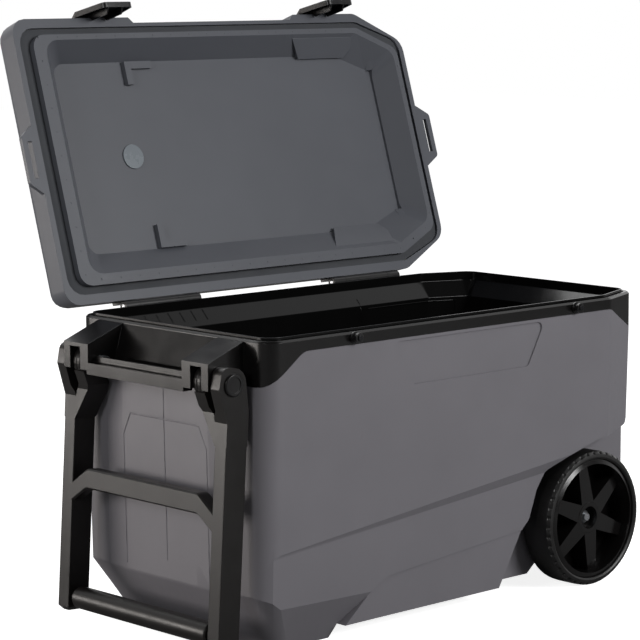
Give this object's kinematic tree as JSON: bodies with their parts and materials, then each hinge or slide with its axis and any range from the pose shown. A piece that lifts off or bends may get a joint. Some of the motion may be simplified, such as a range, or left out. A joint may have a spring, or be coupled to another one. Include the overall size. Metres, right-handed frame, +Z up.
{
  "type": "wheeled cooler",
  "caption": "Insulated chest cooler with a hinged lid, latches, a folding tow handle with a fork at each end, a fixed lifting bar, spoked wheels and a threaded drain.",
  "frame": {"origin": "middle of the tub's flat underside, between the feet and the wheels", "axes": "+Z up, +X along the cooler from the tow handle towards the wheels, +Y from the front towards the hinges"},
  "size_m": [0.9164, 0.6467, 0.9239],
  "materials": {
    "shell": "satin",
    "lid": "satin",
    "frame": "satin",
    "liner": "satin",
    "handle": "matte",
    "wheel": "satin",
    "tyre": "matte",
    "seal": "matte",
    "foam": "matte",
    "steel": "satin",
    "plug": "satin"
  },
  "bodies": {
    "tub": {"body_shell": "shell", "body_foam": "foam", "body_liner": "liner", "rim_frame": "frame", "axle": "steel", "drain_tube": "liner", "drain_seal": "seal", "drain_nut": "liner", "keeper_left": "frame", "keeper_right": "frame", "keeper_screw_left": "steel", "keeper_screw_right": "steel", "hinge_tub_leaf_left": "frame", "hinge_tub_leaf_right": "frame", "hinge_pin_left": "steel", "hinge_pin_right": "steel", "pivot_bolt_front": "frame", "pivot_bolt_back": "frame", "pivot_nut_front": "steel", "pivot_nut_back": "steel", "axle_washer_front": "steel", "axle_washer_back": "steel", "push_nut_front": "steel", "push_nut_back": "steel"},
    "lid": {"lid_shell": "lid", "lid_foam": "foam", "lid_tray": "lid", "lid_gasket": "seal", "lid_plug": "plug", "latch_pin_left": "steel", "latch_pin_right": "steel", "hinge_lid_leaf_left": "frame", "hinge_lid_leaf_right": "frame"},
    "latch_left": {"latch_left": "frame"},
    "latch_right": {"latch_right": "frame"},
    "tow_handle": {"tow_handle": "handle", "tow_grip": "handle"},
    "wheel_front": {"wheel_hub_front": "wheel", "tyre_front": "tyre"},
    "wheel_back": {"wheel_hub_back": "wheel", "tyre_back": "tyre"},
    "drain_seal_ring": {"drain_cap_seal": "seal"},
    "drain_cap": {"drain_cap": "liner"}
  },
  "joints": [
    {"name": "lid_hinge", "type": "hinge", "parent": "tub", "child": "lid", "pos_m": [0, 0.235, 0.436], "axis": [1, 0, 0], "range_deg": [0, 107.3]},
    {"name": "latch_left_hinge", "type": "hinge", "parent": "lid", "child": "latch_left", "pos_m": [-0.24, 0.38776, 0.8676], "axis": [1, 0, 0], "range_deg": [-105, 0]},
    {"name": "latch_right_hinge", "type": "hinge", "parent": "lid", "child": "latch_right", "pos_m": [0.234, 0.38776, 0.8676], "axis": [1, 0, 0], "range_deg": [-105, 0]},
    {"name": "tow_handle_hinge", "type": "hinge", "parent": "tub", "child": "tow_handle", "pos_m": [-0.4425, 0, 0.3765], "axis": [0, 1, 0], "range_deg": [0, 98]},
    {"name": "wheel_front_spin", "type": "hinge", "parent": "tub", "child": "wheel_front", "pos_m": [0.2755, -0.195, 0.0855], "axis": [0, 1, 0], "continuous": true},
    {"name": "wheel_back_spin", "type": "hinge", "parent": "tub", "child": "wheel_back", "pos_m": [0.2755, 0.195, 0.0855], "axis": [0, 1, 0], "continuous": true},
    {"name": "drain_cap_slide", "type": "slide", "parent": "tub", "child": "drain_seal_ring", "axis": [0, 1, 0], "range_m": [0, 0.012]},
    {"name": "drain_cap_spin", "type": "hinge", "parent": "drain_seal_ring", "child": "drain_cap", "pos_m": [-0.3, 0.215, 0.074], "axis": [0, 1, 0], "range_deg": [0, 1440]}
  ],
  "couplings": [
    {"joint": "drain_cap_spin", "follows": "drain_cap_slide", "rad_per_m": 2093.3}
  ]
}
